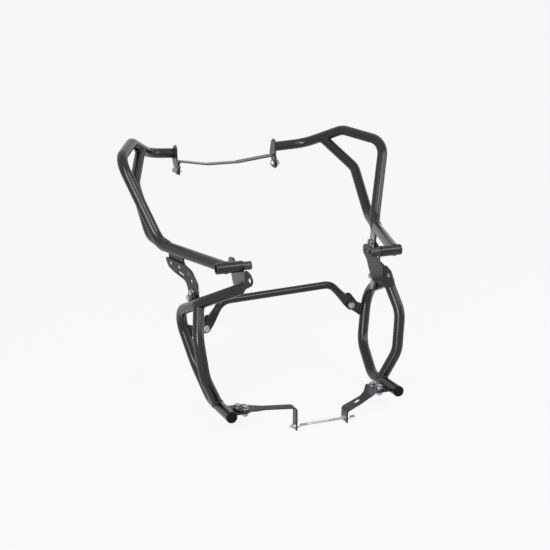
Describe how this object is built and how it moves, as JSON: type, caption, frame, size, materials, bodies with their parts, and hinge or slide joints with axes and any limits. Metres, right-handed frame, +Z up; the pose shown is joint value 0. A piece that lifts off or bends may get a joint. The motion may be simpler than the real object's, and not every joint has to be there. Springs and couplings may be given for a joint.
{
  "type": "motorcycle crash bars",
  "caption": "Tubular engine guard set: upper and lower bars with braces, perforated stays, link plates, cross tube, front strap and a lower tie rod.",
  "frame": {"origin": "middle of the line through both engine bolt bores", "axes": "+X to the rider's right along the engine bolt, +Y forward, +Z up"},
  "size_m": [0.6824, 0.6861, 0.5724],
  "materials": {
    "powder_coat": "satin powder coat",
    "spacer_steel": "satin powder coat",
    "zinc_fastener": "bright zinc plate",
    "rod_steel": "bright zinc plate",
    "plug_plastic": "matte"
  },
  "bodies": {
    "root": {"upper_tube_left": "powder_coat", "upper_tube_right": "powder_coat", "upper_brace_left": "powder_coat", "upper_brace_right": "powder_coat", "mount_sleeve_left": "powder_coat", "mount_sleeve_right": "powder_coat", "mount_spacer_left": "spacer_steel", "mount_spacer_right": "spacer_steel", "flange_plate_left": "powder_coat", "flange_plate_right": "powder_coat", "front_strap": "powder_coat", "upper_tab_left": "powder_coat", "upper_tab_right": "powder_coat", "stay_bracket_left": "powder_coat", "stay_bracket_right": "powder_coat", "lower_stay_tab_left": "powder_coat", "lower_stay_tab_right": "powder_coat", "link_plate_left": "powder_coat", "link_plate_right": "powder_coat", "lower_tube_left": "powder_coat", "lower_tube_right": "powder_coat", "lower_rear_tube_left": "powder_coat", "lower_rear_tube_right": "powder_coat", "end_plug_left": "plug_plastic", "end_plug_right": "plug_plastic", "cross_tab_left": "powder_coat", "cross_tab_right": "powder_coat", "cross_tube": "powder_coat", "bottom_tab_left": "powder_coat", "bottom_tab_right": "powder_coat", "bottom_bracket_left": "powder_coat", "bottom_bracket_right": "powder_coat", "tie_rod": "rod_steel", "rod_nuts": "zinc_fastener", "rod_washers": "zinc_fastener", "bolts": "zinc_fastener", "nuts": "zinc_fastener", "washers": "zinc_fastener"}
  },
  "joints": []
}
